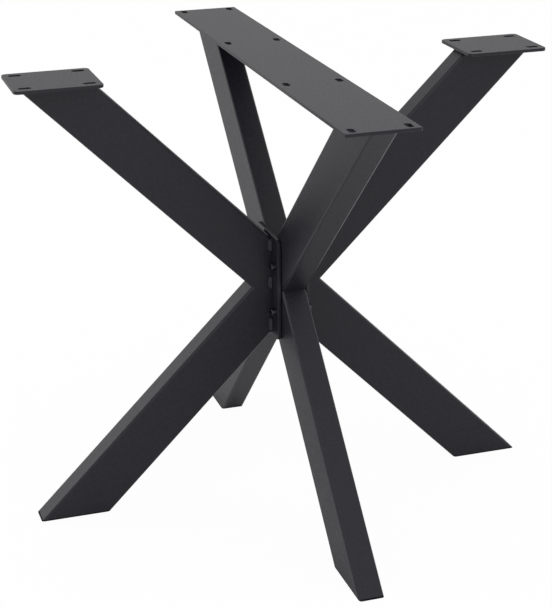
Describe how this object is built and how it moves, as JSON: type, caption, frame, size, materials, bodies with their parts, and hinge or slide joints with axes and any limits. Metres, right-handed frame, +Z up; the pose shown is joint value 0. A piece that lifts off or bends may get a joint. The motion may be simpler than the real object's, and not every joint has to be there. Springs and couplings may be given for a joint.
{
  "type": "table leg",
  "caption": "Spider table leg: two crossed X frames of black rectangular steel tube, bolted at the waist, with slotted top plates and a long slotted top bar.",
  "frame": {"origin": "on the floor under the crossing of the two frames, the centre of the bounding box's base", "axes": "+Z up; the long top bar runs along Y, and the two bolted side pieces reach along -X (left) and +X (right)"},
  "size_m": [0.8504, 0.868, 0.72],
  "materials": {
    "powder_coated_steel": "matt fine-texture black powder coat",
    "black_oxide_screws": "black oxide, slightly oily",
    "zinc_plated_nuts": "bright zinc plating",
    "black_plastic": "moulded black polyethylene"
  },
  "bodies": {
    "root": {"front_upper_arm": "powder_coated_steel", "front_lower_arm": "powder_coated_steel", "back_upper_arm": "powder_coated_steel", "back_lower_arm": "powder_coated_steel", "long_top_bar": "powder_coated_steel", "left_upper_arm": "powder_coated_steel", "left_lower_arm": "powder_coated_steel", "left_top_plate": "powder_coated_steel", "left_flange_plate": "powder_coated_steel", "left_flange_welds": "powder_coated_steel", "left_flange_screws": "black_oxide_screws", "left_rivet_nuts": "zinc_plated_nuts", "right_upper_arm": "powder_coated_steel", "right_lower_arm": "powder_coated_steel", "right_top_plate": "powder_coated_steel", "right_flange_plate": "powder_coated_steel", "right_flange_welds": "powder_coated_steel", "right_flange_screws": "black_oxide_screws", "right_rivet_nuts": "zinc_plated_nuts", "front_foot_cap": "black_plastic", "back_foot_cap": "black_plastic", "left_foot_cap": "black_plastic", "right_foot_cap": "black_plastic"}
  },
  "joints": []
}
